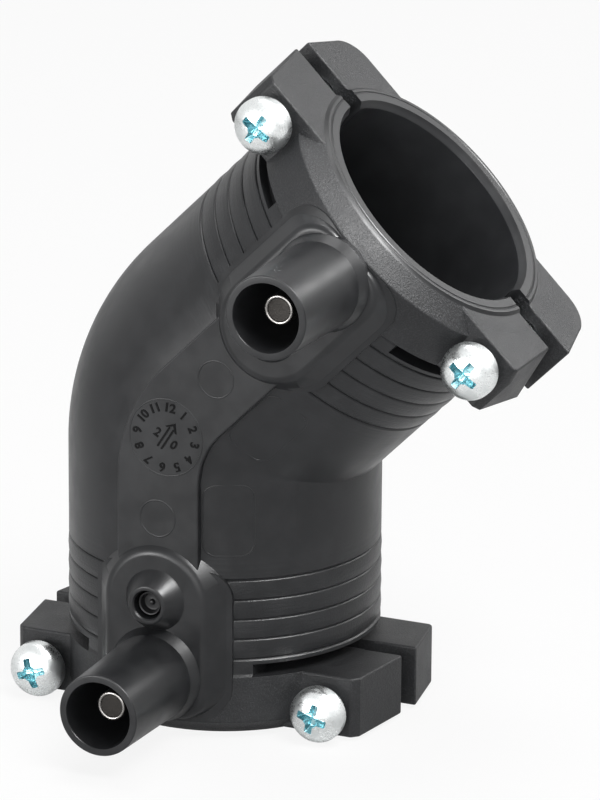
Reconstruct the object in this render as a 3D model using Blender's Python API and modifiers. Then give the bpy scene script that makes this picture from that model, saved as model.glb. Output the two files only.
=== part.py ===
"""Electrofusion elbow, 45 degrees, with a screw clamp at each mouth.

The part stands on its lower mouth, +Z up, with its terminals facing -Y.
The lower leg is modelled and mirrored about the plane that halves the bend.
"""

import math

import bmesh
import bpy
from mathutils import Matrix, Vector

# Fit between pieces
CLEARANCE = 0.0003

# Sockets and bend
BEND_ANGLE = math.radians(45)
BEND_RADIUS = 0.0173
LEG_LENGTH = 0.0441
BORE_RADIUS = 0.01635
STOP_LAND = 0.0017
SOCKET_WALL = 0.0057
PIPE_STOP = 0.00325
LEAD_IN = 0.001
LEAD_IN_WIDTH = 0.0005
STEPS = 64

# Grip ribs round each socket
RIB_COUNT = 5
RIB_START = 0.0117
RIB_PITCH = 0.00288
GROOVE_DEPTH = 0.0003
GROOVE_WIDTH = 0.0006

# Split clamp ring at each mouth
RING_HEIGHT = 0.0091
RING_PROUD = 0.00025
RING_CHAMFER_HEIGHT = 0.0022
RING_CHAMFER_WIDTH = 0.003
LIP_HEIGHT = 0.0003
SLIT_HEIGHT = 0.0018
SLIT_MARGIN = 0.0023
GAP_WIDTH = 0.0036
GAP_SHIFT = 0.0005

# Clamp lugs
LUG_BASE = 0.0004
LUG_HALF_WIDTH = 0.0133
LUG_MARGIN = 0.0063
LUG_TAPER = 0.0016
LUG_FRONT_CHAMFER = 0.001
LUG_BACK_FILLET = 0.0048
LUG_CORNER = 0.0008
LONG_LUG_EXTRA = 0.0006
LONG_LUG_CUT = 0.0009
END_SLOPE = math.radians(14)

# Clamp screws
SCREW_WALL = 0.00525
SHANK_RADIUS = 0.002
HEAD_RADIUS = 0.00395
HEAD_LIFT = 0.0004
HEAD_STANDOFF = 0.0018
HEAD_RIM = 0.0014
HEAD_DOME = 0.0023
SHANK_END_WALL = 0.0025
SHANK_TIP = 0.0012
RECESS_SPAN = 0.005
RECESS_WIDTH = 0.0011
RECESS_DEPTH = 0.0018

# Terminal pads, shrouds and pins
PATCH_PROUD = 0.00045
PATCH_HALF_WIDTH = 0.0103
PATCH_LENGTH = 0.0221
PATCH_MOUTH_CORNER = 0.005
PATCH_BEND_CORNER = 0.0042
PAD_PROUD = 0.00105
PAD_HALF_WIDTH = 0.0074
PAD_BOTTOM = 0.0027
PAD_LENGTH = 0.0244
PAD_CORNER = 0.0045
PAD_SLOPE = math.radians(38)
PAD_DEPTH = 0.0032
PAD_END_DRAFT = 0.0003
TERMINAL_HEIGHT = 0.0092
SHROUD_LENGTH = 0.0181
SHROUD_BORE = 0.00475
SHROUD_WALL = 0.00105
SHROUD_DRAFT = 0.0004
SHROUD_FLARE = 0.0007
SHROUD_FLARE_LENGTH = 0.0029
SHROUD_FLOOR = 0.0019
PIN_RADIUS = 0.0021
PIN_RECESS = 0.0041
PIN_CHAMFER = 0.00045
PIN_ROOT = 0.0042

# Fusion indicators
INDICATOR_SPACING = 0.0109
INDICATOR_BASE_RADIUS = 0.00425
INDICATOR_TOP_RADIUS = 0.00275
INDICATOR_LENGTH = 0.0027
INDICATOR_HOLE_RADIUS = 0.00203
INDICATOR_DEPTH = 0.0045
INDICATOR_SINK = 0.0009

# Flat band round the front of the bend
BAND_PROUD = 0.00025
BAND_HALF_WIDTH = 0.0061
BAND_EDGE = 0.0004

# Places that follow from the sizes above
SOCKET_RADIUS = BORE_RADIUS + SOCKET_WALL
RING_RADIUS = SOCKET_RADIUS + RING_PROUD
TANGENT = BEND_RADIUS * math.tan(BEND_ANGLE / 2)
BEND_START = LEG_LENGTH - TANGENT
BORE_DEPTH = BEND_START - STOP_LAND
PAD_FACE = SOCKET_RADIUS + PAD_PROUD
BAND_FACE = SOCKET_RADIUS + BAND_PROUD
ROOT = SOCKET_RADIUS - 0.8 * SOCKET_WALL
SCREW_OFFSET = BORE_RADIUS + SCREW_WALL
SCREW_HEIGHT = HEAD_RADIUS + HEAD_LIFT
LUG_REACH = SCREW_OFFSET + LUG_MARGIN
SHROUD_TIP = PAD_FACE + SHROUD_LENGTH
INDICATOR_HEIGHT = TERMINAL_HEIGHT + INDICATOR_SPACING
SLIT_END = PATCH_HALF_WIDTH + SLIT_MARGIN
OVERRUN = 0.001

# The origin lies under the middle of the whole part
LEFT = -LUG_REACH
RIGHT = math.sin(BEND_ANGLE) * (LEG_LENGTH - LUG_BASE) + math.cos(BEND_ANGLE) * LUG_REACH
MIDDLE = Vector((-(LEFT + RIGHT) / 2, (SHROUD_TIP - RING_RADIUS) / 2, 0))

for thing in list(bpy.data.objects):
    bpy.data.objects.remove(thing)

part = bpy.data.collections.new("electrofusion_elbow")
cutters = bpy.data.collections.new("cutters")
cutters.hide_render = True
bpy.context.scene.collection.children.link(part)
bpy.context.scene.collection.children.link(cutters)


def add_empty(name, parent, location, turn=0.0):
    """Makes an empty that pieces are placed on."""
    empty = bpy.data.objects.new(name, None)
    empty.empty_display_size = 0.01
    empty.parent = parent
    empty.location = location
    empty.rotation_euler = (0, turn, 0)
    part.objects.link(empty)
    return empty


frame = add_empty("elbow_frame", None, MIDDLE)
crossing = Vector((0, 0, LEG_LENGTH))
upper_mouth = crossing + LEG_LENGTH * Vector((math.sin(BEND_ANGLE), 0, math.cos(BEND_ANGLE)))
lower_leg = add_empty("lower_leg", frame, (0, 0, 0))
upper_leg = add_empty("upper_leg", frame, upper_mouth, math.pi + BEND_ANGLE)
bisector = add_empty("bisector", frame, crossing, BEND_ANGLE / 2)


def add_material(name, colour, roughness, metallic):
    """Makes a plain Principled material."""
    made = bpy.data.materials.new(name)
    made.use_nodes = True
    shader = made.node_tree.nodes["Principled BSDF"]
    shader.inputs["Base Color"].default_value = (*colour, 1)
    shader.inputs["Roughness"].default_value = roughness
    shader.inputs["Metallic"].default_value = metallic
    made.diffuse_color = (*colour, 1)
    return made


polyethylene = add_material("black_polyethylene", (0.035, 0.036, 0.038), 0.45, 0.0)
zinc = add_material("zinc_plated_steel", (0.62, 0.64, 0.64), 0.3, 1.0)
tin = add_material("tinned_pin", (0.7, 0.69, 0.66), 0.28, 1.0)
indicator_plastic = add_material("indicator_plastic", (0.02, 0.02, 0.022), 0.35, 0.0)


def place(name, mesh, parent=frame, collection=cutters):
    """Puts a mesh in the scene, as a hidden helper unless the part's own collection is named."""
    obj = bpy.data.objects.new(name, mesh)
    obj.parent = parent
    collection.objects.link(obj)
    if collection == cutters:
        obj.hide_render = True
        obj.display_type = "WIRE"
    return obj


def turned(name, profile, steps=STEPS, parent=frame, collection=cutters):
    """Turns a profile of (radius, height) points, listed down the outer side, about its Z axis."""
    mesh = bpy.data.meshes.new(name)
    points = [(radius, 0, height) for radius, height in profile]
    edges = [(i, i + 1) for i in range(len(points) - 1)]
    mesh.from_pydata(points, edges, [])
    obj = place(name, mesh, parent, collection)
    screw = obj.modifiers.new("turn", "SCREW")
    screw.steps = steps
    screw.render_steps = steps
    screw.use_merge_vertices = True
    screw.merge_threshold = 0.00001
    return obj


def face_front(obj, x, height):
    """Turns an object's Z axis to the front, -Y, at a place on its leg."""
    obj.rotation_euler = (math.pi / 2, 0, 0)
    obj.location = (x, 0, height)
    return obj


def baked(obj):
    """Gives an object its evaluated mesh, welded, in place of its curve or modifiers."""
    graph = bpy.context.evaluated_depsgraph_get()
    mesh = bpy.data.meshes.new_from_object(obj.evaluated_get(graph))
    made = bmesh.new()
    made.from_mesh(mesh)
    bmesh.ops.remove_doubles(made, verts=made.verts, dist=0.000005)
    bmesh.ops.recalc_face_normals(made, faces=made.faces)
    made.to_mesh(mesh)
    made.free()
    solid = bpy.data.objects.new(obj.name, mesh)
    solid.parent = obj.parent
    solid.matrix_local = obj.matrix_local.copy()
    name = obj.name
    for group in obj.users_collection:
        group.objects.link(solid)
    solid.hide_render = obj.hide_render
    solid.display_type = obj.display_type
    bpy.data.objects.remove(obj)
    solid.name = name
    return solid


def both_legs(obj):
    """Cuts a leg off at the plane that halves the bend and mirrors it there."""
    mirror = obj.modifiers.new("other_leg", "MIRROR")
    mirror.use_axis = (False, False, True)
    mirror.use_bisect_axis = (False, False, True)
    mirror.use_bisect_flip_axis = (False, False, True)
    mirror.bisect_threshold = 0.000001
    mirror.mirror_object = bisector
    mirror.merge_threshold = 0.00001
    settle(obj)


def extruded(name, outline, depth, parent=frame):
    """Extrudes a flat outline, drawn in X and Y, by its depth from Z = 0 down."""
    curve = bpy.data.curves.new(name, "CURVE")
    curve.dimensions = "2D"
    curve.fill_mode = "BOTH"
    curve.extrude = depth / 2
    spline = curve.splines.new("POLY")
    spline.points.add(len(outline) - 1)
    for point, (x, y) in zip(spline.points, outline):
        point.co = (x, y, 0, 1)
    spline.use_cyclic_u = True
    obj = place(name, curve, parent)
    obj.location = (0, 0, 0)
    solid = baked(obj)
    solid.data.transform(Matrix.Translation((0, 0, -depth / 2)))
    return solid


def lofted(name, top_outline, foot_outline, depth, parent=frame):
    """Joins an outline at Z = 0 to a wider one at a depth below it."""
    made = bmesh.new()
    for outline, height in ((top_outline, 0), (foot_outline, -depth)):
        made.faces.new([made.verts.new((x, y, height)) for x, y in outline])
    bmesh.ops.bridge_loops(made, edges=made.edges[:])
    bmesh.ops.recalc_face_normals(made, faces=made.faces)
    mesh = bpy.data.meshes.new(name)
    made.to_mesh(mesh)
    made.free()
    return place(name, mesh, parent)


def box(name, low, high, parent=frame):
    """Makes a box between two corners."""
    made = bmesh.new()
    size = Vector(high) - Vector(low)
    middle = (Vector(high) + Vector(low)) / 2
    bmesh.ops.create_cube(made, size=1, matrix=Matrix.LocRotScale(middle, None, size))
    mesh = bpy.data.meshes.new(name)
    made.to_mesh(mesh)
    made.free()
    return place(name, mesh, parent)


def settle(obj):
    """Applies an object's modifiers and welds the seams that they leave."""
    graph = bpy.context.evaluated_depsgraph_get()
    graph.update()
    mesh = bpy.data.meshes.new_from_object(obj.evaluated_get(graph))
    made = bmesh.new()
    made.from_mesh(mesh)
    bmesh.ops.remove_doubles(made, verts=made.verts, dist=0.000002)
    bmesh.ops.dissolve_degenerate(made, edges=made.edges, dist=0.000002)
    made.to_mesh(mesh)
    made.free()
    obj.modifiers.clear()
    obj.data = mesh


def combine(body, other, operation):
    """Joins another solid to the body, or cuts it out."""
    step = body.modifiers.new(other.name, "BOOLEAN")
    step.operation = operation
    step.solver = "EXACT"
    step.object = other
    settle(body)


def round_edges(obj, width, segments, limit=40):
    """Rounds an object's sharp edges."""
    bevel = obj.modifiers.new("round", "BEVEL")
    bevel.width = width
    bevel.segments = segments
    bevel.limit_method = "ANGLE"
    bevel.angle_limit = math.radians(limit)
    bevel.use_clamp_overlap = True
    return obj


def arc(centre, radius, start, end, count):
    """Lists points along an arc, with its angles in degrees."""
    turns = [math.radians(start + (end - start) * i / count) for i in range(count + 1)]
    return [(centre[0] + radius * math.cos(t), centre[1] + radius * math.sin(t)) for t in turns]


def bend_on(obj, angle, steps):
    """Carries the top face of a turned leg round the bend axis, up to the given angle."""
    solid = baked(obj)
    made = bmesh.new()
    made.from_mesh(solid.data)
    top = max(vertex.co.z for vertex in made.verts)
    cap = [face for face in made.faces if face.calc_center_median().z > top - 0.00001]
    face = bmesh.ops.dissolve_faces(made, faces=cap)["region"][0]
    hinge = Vector((BEND_RADIUS, 0, top))
    reach = [face, *face.edges, *face.verts]
    bmesh.ops.bisect_plane(made, geom=reach, dist=0.000001, plane_co=hinge, plane_no=(1, 0, 0))
    cap = [face for face in made.faces if face.calc_center_median().z > top - 0.00001]
    swept = min(cap, key=lambda face: face.calc_center_median().x)
    bmesh.ops.spin(
        made,
        geom=[swept, *swept.edges, *swept.verts],
        cent=hinge,
        axis=(0, 1, 0),
        angle=angle,
        steps=steps,
    )
    bmesh.ops.remove_doubles(made, verts=made.verts, dist=0.000002)
    bmesh.ops.recalc_face_normals(made, faces=made.faces)
    made.to_mesh(solid.data)
    made.free()
    return solid


# Turned leg: clamp ring, grip ribs and plain socket
rib_profile = []
for i in range(RIB_COUNT):
    height = RIB_START + (RIB_COUNT - 1 - i) * RIB_PITCH
    rib_profile.append((SOCKET_RADIUS, height + GROOVE_WIDTH / 2))
    rib_profile.append((SOCKET_RADIUS - GROOVE_DEPTH, height))
    rib_profile.append((SOCKET_RADIUS, height - GROOVE_WIDTH / 2))
leg_profile = [
    (0, BEND_START),
    (SOCKET_RADIUS, BEND_START),
    *rib_profile,
    (SOCKET_RADIUS, RING_HEIGHT + RING_PROUD),
    (RING_RADIUS, RING_HEIGHT),
    (RING_RADIUS, LIP_HEIGHT + RING_CHAMFER_HEIGHT),
    (RING_RADIUS - RING_CHAMFER_WIDTH, LIP_HEIGHT),
    (RING_RADIUS - RING_CHAMFER_WIDTH, 0),
    (0, 0),
]
half_bend = math.degrees(BEND_ANGLE) / 2
leg = turned("elbow_body", leg_profile, collection=part)
body = bend_on(leg, math.radians(half_bend + 2), 6)

# Thin curved patch on the front of the socket, where the ribs stop
patch_top = PAD_BOTTOM + PATCH_LENGTH
mouth_x = PATCH_HALF_WIDTH - PATCH_MOUTH_CORNER
mouth_z = PAD_BOTTOM + PATCH_MOUTH_CORNER
bend_x = PATCH_HALF_WIDTH - PATCH_BEND_CORNER
bend_z = patch_top - PATCH_BEND_CORNER
patch_outline = [
    *arc((mouth_x, mouth_z), PATCH_MOUTH_CORNER, -90, 0, 4),
    *arc((bend_x, bend_z), PATCH_BEND_CORNER, 0, 90, 4),
    *arc((-bend_x, bend_z), PATCH_BEND_CORNER, 90, 180, 4),
    *arc((-mouth_x, mouth_z), PATCH_MOUTH_CORNER, 180, 270, 4),
]
patch_radius = SOCKET_RADIUS + PATCH_PROUD
patch = face_front(extruded("patch", patch_outline, patch_radius + OVERRUN - ROOT), 0, 0)
patch.location.y = -patch_radius - OVERRUN
patch_profile = [
    (0, patch_top + OVERRUN),
    (patch_radius, patch_top + OVERRUN),
    (patch_radius, PAD_BOTTOM - OVERRUN),
    (0, PAD_BOTTOM - OVERRUN),
]
combine(patch, turned("patch_curve", patch_profile), "INTERSECT")
combine(body, patch, "UNION")

# Terminal pad on the patch: flat on top, with sloping sides and a round end round the indicator
pad_centre = (0, PAD_BOTTOM + PAD_LENGTH - PAD_HALF_WIDTH)
pad_outlines = []
for spread, draft in ((0, PAD_END_DRAFT), (PAD_DEPTH * math.tan(PAD_SLOPE), 0)):
    half_width = PAD_HALF_WIDTH + spread
    corner = PAD_CORNER + spread / 2
    corner_z = PAD_BOTTOM + draft + corner
    pad_outlines.append(
        [
            *arc((half_width - corner, corner_z), corner, -90, 0, 4),
            *arc(pad_centre, half_width, 0, 180, 14),
            *arc((corner - half_width, corner_z), corner, 180, 270, 4),
        ]
    )
pad = face_front(lofted("pad", *pad_outlines, PAD_DEPTH), 0, 0)
pad.location.y = -PAD_FACE
combine(body, pad, "UNION")

# Flat band that runs from pad to pad round the front of the bend
hinge = (BEND_RADIUS, BEND_START)
band_end = 180 - half_bend - 4
band_outline = [
    (-BAND_HALF_WIDTH, INDICATOR_HEIGHT),
    *arc(hinge, BEND_RADIUS + BAND_HALF_WIDTH, 180, band_end, 8),
    *arc(hinge, BEND_RADIUS - BAND_HALF_WIDTH, band_end, 180, 8),
    (BAND_HALF_WIDTH, INDICATOR_HEIGHT),
]
band = face_front(extruded("band", band_outline[::-1], BAND_FACE - ROOT), 0, 0)
band.location.y = -BAND_FACE
round_edges(band, BAND_EDGE, 2)
combine(body, band, "UNION")

# Terminal shroud, solid until its well is cut
shroud_radius = SHROUD_BORE + SHROUD_WALL
shroud_profile = [
    (0, SHROUD_TIP),
    (shroud_radius - 0.0002, SHROUD_TIP),
    (shroud_radius, SHROUD_TIP - 0.0002),
    (shroud_radius + SHROUD_DRAFT, PAD_FACE + SHROUD_FLARE_LENGTH),
    (shroud_radius + SHROUD_DRAFT + 0.35 * SHROUD_FLARE, PAD_FACE + 0.4 * SHROUD_FLARE_LENGTH),
    (shroud_radius + SHROUD_DRAFT + SHROUD_FLARE, PAD_FACE),
    (shroud_radius + SHROUD_DRAFT + SHROUD_FLARE, ROOT),
    (0, ROOT),
]
shroud = face_front(turned("shroud", shroud_profile, 40), 0, TERMINAL_HEIGHT)
combine(body, shroud, "UNION")

# Conical boss round the fusion indicator
boss_profile = [
    (0, PAD_FACE + INDICATOR_LENGTH),
    (INDICATOR_TOP_RADIUS, PAD_FACE + INDICATOR_LENGTH),
    (INDICATOR_BASE_RADIUS, PAD_FACE),
    (INDICATOR_BASE_RADIUS, ROOT),
    (0, ROOT),
]
boss = face_front(turned("indicator_boss", boss_profile, 32), 0, INDICATOR_HEIGHT)
combine(body, boss, "UNION")

# Well of the shroud, and the hole that the contact pin is set in
well_floor = PAD_FACE + SHROUD_FLOOR
pin_hole = PIN_RADIUS + CLEARANCE
pin_floor = PAD_FACE - PIN_ROOT
well_profile = [
    (0, SHROUD_TIP + OVERRUN),
    (SHROUD_BORE, SHROUD_TIP + OVERRUN),
    (SHROUD_BORE, well_floor),
    (pin_hole, well_floor),
    (pin_hole, pin_floor),
    (0, pin_floor),
]
well = face_front(turned("well_cutter", well_profile, 32), 0, TERMINAL_HEIGHT)
combine(body, well, "DIFFERENCE")

# Hole of the fusion indicator
indicator_top = PAD_FACE + INDICATOR_LENGTH
indicator_profile = [
    (0, indicator_top + OVERRUN),
    (INDICATOR_HOLE_RADIUS, indicator_top + OVERRUN),
    (INDICATOR_HOLE_RADIUS, indicator_top - INDICATOR_DEPTH),
    (0, indicator_top - INDICATOR_DEPTH),
]
indicator_hole = face_front(turned("indicator_cutter", indicator_profile, 24), 0, INDICATOR_HEIGHT)
combine(body, indicator_hole, "DIFFERENCE")

# The other leg is the mirror image of this one
both_legs(body)

# Clamp lugs, one on each side of both rings.
# The one inside the bend at the lower mouth is longer and has a square back corner.
# The one inside the bend at the upper mouth has a sloping front end.
lug_top = RING_HEIGHT + SLIT_HEIGHT / 2
lug_inner = 0.6 * SOCKET_RADIUS
lugs = (
    ("lower_left", lower_leg, -1, 0, 0, LUG_BACK_FILLET),
    ("lower_right", lower_leg, 1, LONG_LUG_EXTRA, LONG_LUG_CUT, LUG_CORNER),
    ("upper_left", upper_leg, 1, 0, 0, LUG_BACK_FILLET),
    ("upper_right", upper_leg, -1, 0, 0, LUG_BACK_FILLET),
)
for name, leg_frame, side, extra, cut, fillet in lugs:
    reach = LUG_REACH + extra
    back = LUG_HALF_WIDTH - cut
    outline = [
        (lug_inner, -LUG_HALF_WIDTH),
        (LUG_REACH - LUG_TAPER - LUG_FRONT_CHAMFER, -LUG_HALF_WIDTH),
        (LUG_REACH - LUG_TAPER, -LUG_HALF_WIDTH + LUG_FRONT_CHAMFER),
        (LUG_REACH, GAP_SHIFT - GAP_WIDTH / 2),
        (reach, GAP_SHIFT + GAP_WIDTH / 2),
        *arc((reach - LUG_TAPER - fillet, back - fillet), fillet, 8, 90, 5),
        (lug_inner, back),
    ]
    lug = extruded(name + "_lug", [(side * x, y) for x, y in outline], lug_top - LUG_BASE, leg_frame)
    lug.location.z = lug_top
    combine(body, lug, "UNION")

# Bore with its lead-in, pipe stop and the waterway round the bend
bore_profile = [
    (0, BEND_START),
    (BORE_RADIUS - PIPE_STOP, BEND_START),
    (BORE_RADIUS - PIPE_STOP, BORE_DEPTH),
    (BORE_RADIUS, BORE_DEPTH),
    (BORE_RADIUS, LEAD_IN),
    (BORE_RADIUS + LEAD_IN_WIDTH * (LEAD_IN + OVERRUN) / LEAD_IN, -OVERRUN),
    (0, -OVERRUN),
]
bore = bend_on(turned("bore_cutter", bore_profile), math.radians(half_bend + 4), 6)
both_legs(bore)
combine(body, bore, "DIFFERENCE")

# Slits that free the ring from the socket, gaps that split it, and screw holes
far = LUG_REACH + LONG_LUG_EXTRA + OVERRUN
wide = max(RING_RADIUS, LUG_HALF_WIDTH) + OVERRUN
hole_radius = SHANK_RADIUS + CLEARANCE
hole_end = LUG_HALF_WIDTH - SHANK_END_WALL
hole_profile = [
    (0, LUG_HALF_WIDTH + OVERRUN),
    (hole_radius, LUG_HALF_WIDTH + OVERRUN),
    (hole_radius, -hole_end),
    (0, -hole_end),
]
for name, leg_frame, side, extra, cut, fillet in lugs:
    ends = sorted((side * SLIT_END, side * far))
    low = (ends[0], -wide, RING_HEIGHT)
    high = (ends[1], wide, RING_HEIGHT + SLIT_HEIGHT)
    combine(body, box(name + "_slit", low, high, leg_frame), "DIFFERENCE")
    ends = sorted((side * lug_inner, side * far))
    low = (ends[0], GAP_SHIFT - GAP_WIDTH / 2, -OVERRUN)
    high = (ends[1], GAP_SHIFT + GAP_WIDTH / 2, lug_top)
    combine(body, box(name + "_gap", low, high, leg_frame), "DIFFERENCE")
    hole = turned(name + "_hole", hole_profile, 24, leg_frame)
    combine(body, face_front(hole, side * SCREW_OFFSET, SCREW_HEIGHT), "DIFFERENCE")
slope = box("sloping_end", (-0.01, -wide, -0.02), (0, GAP_SHIFT, 0.02), upper_leg)
slope.location = (-LUG_REACH, 0, RING_HEIGHT)
slope.rotation_euler = (0, -END_SLOPE, 0)
combine(body, slope, "DIFFERENCE")
body.data.materials.append(polyethylene)
body.data.shade_smooth()
body.data.set_sharp_from_angle(angle=math.radians(30))


def finish(obj, material):
    """Gives a small turned piece its material and smooth shading."""
    obj.data.materials.append(material)
    obj.data.shade_smooth()
    obj.data.set_sharp_from_angle(angle=math.radians(35))


# Clamp screws: pan head with a cross recess, and a plain shank
head_base = LUG_HALF_WIDTH + HEAD_STANDOFF
rim_top = head_base + HEAD_RIM
dome_points = []
for i in range(5):
    t = math.radians(90 - 90 * i / 4)
    dome_points.append((HEAD_RADIUS * math.cos(t), rim_top + HEAD_DOME * math.sin(t)))
shank_end = hole_end - CLEARANCE
screw_profile = [
    (0, rim_top + HEAD_DOME),
    *dome_points[1:],
    (HEAD_RADIUS, head_base + 0.0002),
    (HEAD_RADIUS - 0.0002, head_base),
    (SHANK_RADIUS, head_base),
    (SHANK_RADIUS, -shank_end + SHANK_TIP + CLEARANCE),
    (SHANK_RADIUS - SHANK_TIP / 2, -shank_end + CLEARANCE),
    (0, -shank_end + CLEARANCE),
]
recess_top = rim_top + HEAD_DOME + OVERRUN
recess_floor = rim_top + HEAD_DOME - RECESS_DEPTH
arm = RECESS_SPAN / 2
half = RECESS_WIDTH / 2
cross = box("recess_cutter", (-arm, -half, recess_floor), (arm, half, recess_top), None)
crossed = box("recess_arm", (-half, -arm, recess_floor), (half, arm, recess_top), None)
combine(cross, crossed, "UNION")
screws = (
    ("clamp_screw_lower_left", lower_leg, -1, 30),
    ("clamp_screw_lower_right", lower_leg, 1, 75),
    ("clamp_screw_upper_left", upper_leg, 1, 100),
    ("clamp_screw_upper_right", upper_leg, -1, 60),
)
screw_mesh = None
for name, leg_frame, side, turn in screws:
    if screw_mesh is None:
        blank = turned(name, screw_profile, 24, None)
        combine(blank, cross, "DIFFERENCE")
        finish(blank, zinc)
        screw_mesh = blank.data
        bpy.data.objects.remove(blank)
    screw = place(name, screw_mesh, leg_frame, part)
    face_front(screw, side * SCREW_OFFSET, SCREW_HEIGHT)
    screw.rotation_euler.rotate_axis("Z", math.radians(turn))

# Contact pins
pin_top = SHROUD_TIP - PIN_RECESS
pin_profile = [
    (0, pin_top),
    (PIN_RADIUS - PIN_CHAMFER, pin_top),
    (PIN_RADIUS, pin_top - PIN_CHAMFER),
    (PIN_RADIUS, pin_floor + CLEARANCE),
    (0, pin_floor + CLEARANCE),
]
for name, leg_frame in (("contact_pin_lower", lower_leg), ("contact_pin_upper", upper_leg)):
    pin = face_front(turned(name, pin_profile, 24, leg_frame, part), 0, TERMINAL_HEIGHT)
    finish(pin, tin)

# Fusion indicator pins
rise_top = indicator_top - INDICATOR_SINK
rise_radius = INDICATOR_HOLE_RADIUS - CLEARANCE
rise_profile = [
    (0, rise_top),
    (rise_radius - 0.0003, rise_top),
    (rise_radius, rise_top - 0.0003),
    (rise_radius, indicator_top - INDICATOR_DEPTH + CLEARANCE),
    (0, indicator_top - INDICATOR_DEPTH + CLEARANCE),
]
for name, leg_frame in (("fusion_indicator_lower", lower_leg), ("fusion_indicator_upper", upper_leg)):
    rise = face_front(turned(name, rise_profile, 20, leg_frame, part), 0, INDICATOR_HEIGHT)
    finish(rise, indicator_plastic)
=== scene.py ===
import math

import bmesh
import bpy
from mathutils import Matrix, Vector


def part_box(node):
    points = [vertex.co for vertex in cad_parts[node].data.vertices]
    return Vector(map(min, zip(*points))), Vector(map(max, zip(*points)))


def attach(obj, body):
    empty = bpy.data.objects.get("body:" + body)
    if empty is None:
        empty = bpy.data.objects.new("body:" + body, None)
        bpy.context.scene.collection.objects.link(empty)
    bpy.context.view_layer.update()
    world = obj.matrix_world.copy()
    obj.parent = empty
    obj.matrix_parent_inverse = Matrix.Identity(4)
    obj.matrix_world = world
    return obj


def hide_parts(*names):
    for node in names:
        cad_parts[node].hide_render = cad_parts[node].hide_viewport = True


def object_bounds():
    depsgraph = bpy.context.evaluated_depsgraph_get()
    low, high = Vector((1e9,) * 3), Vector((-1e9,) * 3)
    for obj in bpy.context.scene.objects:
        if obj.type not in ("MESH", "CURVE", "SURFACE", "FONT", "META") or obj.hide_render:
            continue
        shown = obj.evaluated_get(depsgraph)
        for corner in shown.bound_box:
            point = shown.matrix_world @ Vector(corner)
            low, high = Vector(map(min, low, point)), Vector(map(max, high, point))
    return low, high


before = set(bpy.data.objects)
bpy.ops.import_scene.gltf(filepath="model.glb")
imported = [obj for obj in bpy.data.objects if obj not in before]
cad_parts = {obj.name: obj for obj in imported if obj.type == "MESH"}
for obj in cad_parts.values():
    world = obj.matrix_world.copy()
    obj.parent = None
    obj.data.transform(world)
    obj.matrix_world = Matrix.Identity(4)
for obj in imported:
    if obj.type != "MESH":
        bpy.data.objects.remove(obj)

cad_low, cad_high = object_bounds()
scene = bpy.context.scene


# The moulding: one piece of black polyethylene, two sockets with a bend between them.
# Each leg is a plain tube with five grip bands cut round it and a thicker clamp ring at its mouth.
# It is injection moulded, so every outer corner has a small round.
CLEARANCE = 0.0003
OVERRUN = 0.001
BEND_ANGLE = math.radians(45)
BEND_RADIUS = 0.0173
LEG_LENGTH = 0.0441
BORE_RADIUS = 0.01635
SOCKET_RADIUS = 0.02205
BEND_START = LEG_LENGTH - BEND_RADIUS * math.tan(BEND_ANGLE / 2)
LEG_SPARE = 2
BAND_COUNT = 5
BAND_START = 0.0117
BAND_PITCH = 0.00288
GROOVE_DEPTH = 0.00032
GROOVE_WIDTH = 0.0006
GROOVE_SHAPE = ((0.0625, 0.5), (0.4, 0.24), (1, 0.05), (1, -0.05), (0.4, -0.24), (0.0625, -0.5))
CROWN = 0.00006
RING_HEIGHT = 0.0091
RING_RADIUS = 0.0223
RING_EDGE = 0.00035
RING_FALL = 0.0004
RING_JOIN = 0.0016
CHAMFER_HEIGHT = 0.0022
CHAMFER_WIDTH = 0.003
LIP_HEIGHT = 0.0003
LIP_EDGE = 0.00028
LIP_CORNER = 0.0001
LIP_GROOVE_RADIUS = 0.0184
LIP_GROOVE_WIDTH = 0.00036
LIP_GROOVE_DEPTH = 0.00014
LUG_REACH = 0.0279
BODY_STEPS = 160
BEND_STEPS = 30
WELD = 0.000002
FINE_WELD = 0.000001
NEAR = 0.00001

body_low, body_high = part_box("elbow_body")
origin = Vector((body_low.x + LUG_REACH, body_high.y - RING_RADIUS, body_low.z))
leg_axis = Vector((math.sin(BEND_ANGLE), 0, math.cos(BEND_ANGLE)))
crossing = origin + Vector((0, 0, LEG_LENGTH))
LOWER = Matrix.Translation(origin)
upper_turn = Matrix.Rotation(math.pi + BEND_ANGLE, 4, "Y")
UPPER = Matrix.Translation(crossing + LEG_LENGTH * leg_axis) @ upper_turn
BISECTOR = Matrix.Translation(crossing) @ Matrix.Rotation(BEND_ANGLE / 2, 4, "Y")
FRONT = Matrix.Rotation(math.pi / 2, 4, "X")


def at_front(x, height):
    """Turns a piece's Z axis to the front of its leg, at a place across it and up it."""
    return Matrix.Translation((x, 0, height)) @ FRONT


def piece_from(name, made, matrix=Matrix.Identity(4)):
    """Makes an object from a bmesh, with its place in its mesh."""
    bmesh.ops.recalc_face_normals(made, faces=made.faces)
    mesh = bpy.data.meshes.new(name)
    made.to_mesh(mesh)
    made.free()
    mesh.transform(matrix)
    obj = bpy.data.objects.new(name, mesh)
    scene.collection.objects.link(obj)
    return obj


def eased(points, radius, count=4, closed=False):
    """Rounds the corners of an outline or profile."""
    out = []
    total = len(points)
    for i, point in enumerate(points):
        if not closed and i in (0, total - 1):
            out.append(tuple(point))
            continue
        here = Vector(point)
        before = Vector(points[i - 1]) - here
        after = Vector(points[(i + 1) % total]) - here
        angle = before.angle(after)
        if angle > math.radians(165):
            out.append(tuple(point))
            continue
        cut = min(radius / math.tan(angle / 2), 0.45 * before.length, 0.45 * after.length)
        start = here + before.normalized() * cut
        end = here + after.normalized() * cut
        for j in range(count + 1):
            t = j / count
            out.append(tuple(start * (1 - t) ** 2 + here * 2 * t * (1 - t) + end * t**2))
    return out


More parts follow.
